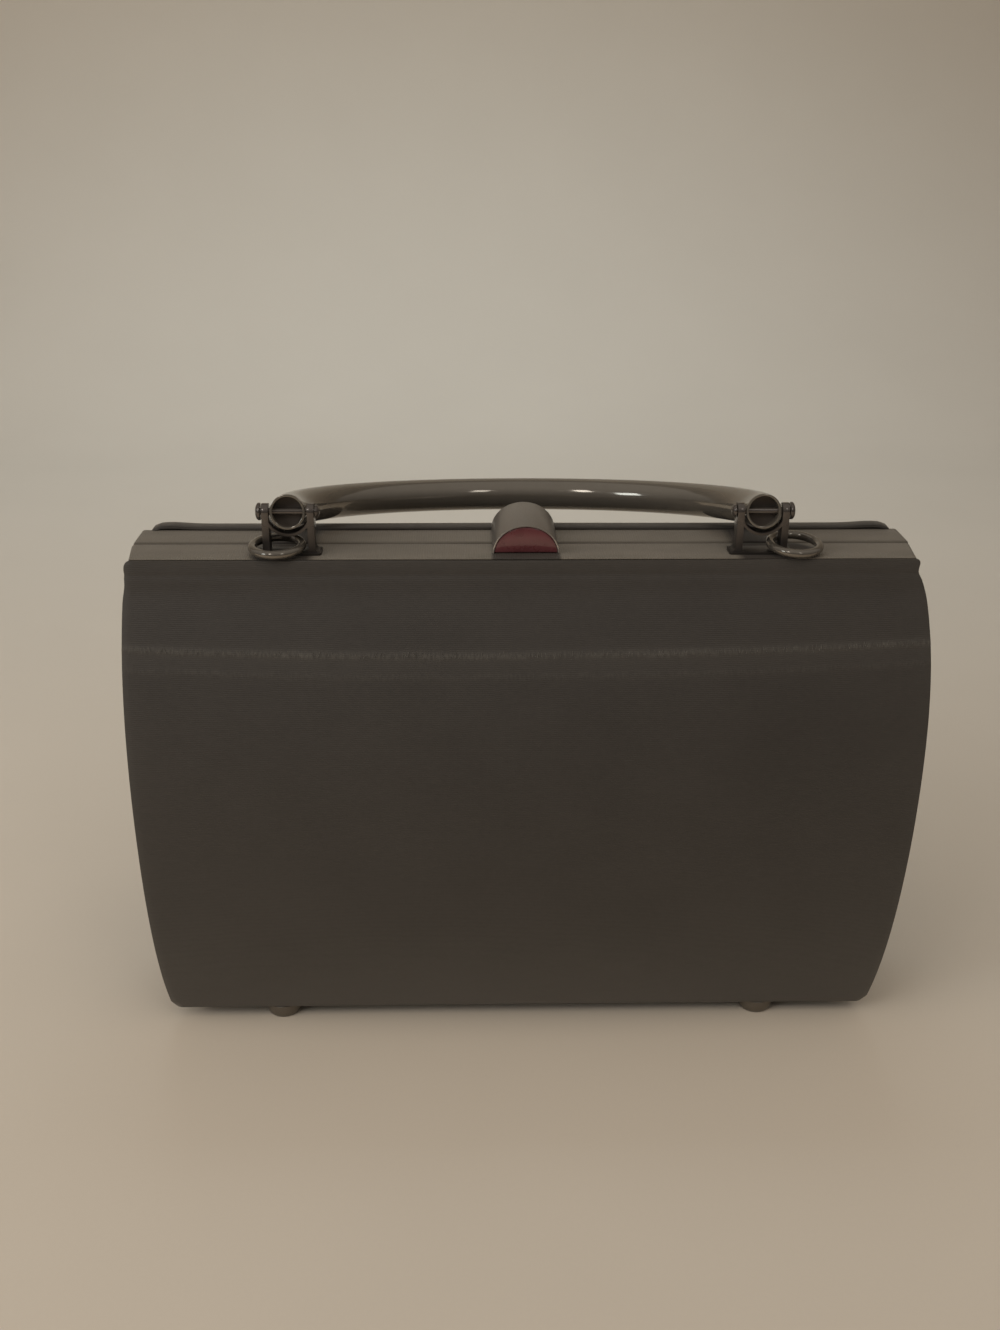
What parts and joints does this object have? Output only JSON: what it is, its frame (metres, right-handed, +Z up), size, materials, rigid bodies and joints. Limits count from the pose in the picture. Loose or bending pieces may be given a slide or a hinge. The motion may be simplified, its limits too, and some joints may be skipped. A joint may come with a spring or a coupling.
{
  "type": "framed evening handbag",
  "caption": "Small structured black fabric evening handbag with a covered frame, a folding metal tube handle, strap rings, a barrel lift clasp and domed feet.",
  "frame": {"origin": "on the surface under the feet, at the middle of the whole width and depth", "axes": "+X along the frame to the right seen from the front, +Y from front to back, +Z up"},
  "size_m": [0.2026, 0.0768, 0.1528],
  "materials": {
    "panel_fabric": "fine ribbed black cloth, soft sheen",
    "bar_fabric": "black satin cloth drawn over the frame bars",
    "gunmetal": "polished dark gunmetal plating",
    "red_enamel": "glossy dark garnet enamel"
  },
  "bodies": {
    "body": {"front_panel": "panel_fabric", "back_panel": "panel_fabric", "base_panel": "panel_fabric", "gusset_left": "panel_fabric", "gusset_right": "panel_fabric", "frame_bar_front": "bar_fabric", "frame_bar_back": "bar_fabric", "foot_front_left": "gunmetal", "foot_front_right": "gunmetal", "foot_back_left": "gunmetal", "foot_back_right": "gunmetal", "bracket_left": "gunmetal", "bracket_right": "gunmetal", "pin_left": "gunmetal", "pin_right": "gunmetal", "ring_left": "gunmetal", "ring_right": "gunmetal", "clasp_hinge": "gunmetal"},
    "handle": {"handle": "gunmetal"},
    "clasp": {"clasp_lever": "gunmetal", "clasp_cap": "red_enamel"}
  },
  "joints": [
    {"name": "handle_fold", "type": "hinge", "parent": "body", "child": "handle", "pos_m": [0, -0.01316, 0.1481], "axis": [1, 0, 0], "range_deg": [0, 200]},
    {"name": "clasp_lift", "type": "hinge", "parent": "body", "child": "clasp", "pos_m": [0, 0.00484, 0.1405], "axis": [-1, 0, 0], "range_deg": [0, 70]}
  ]
}
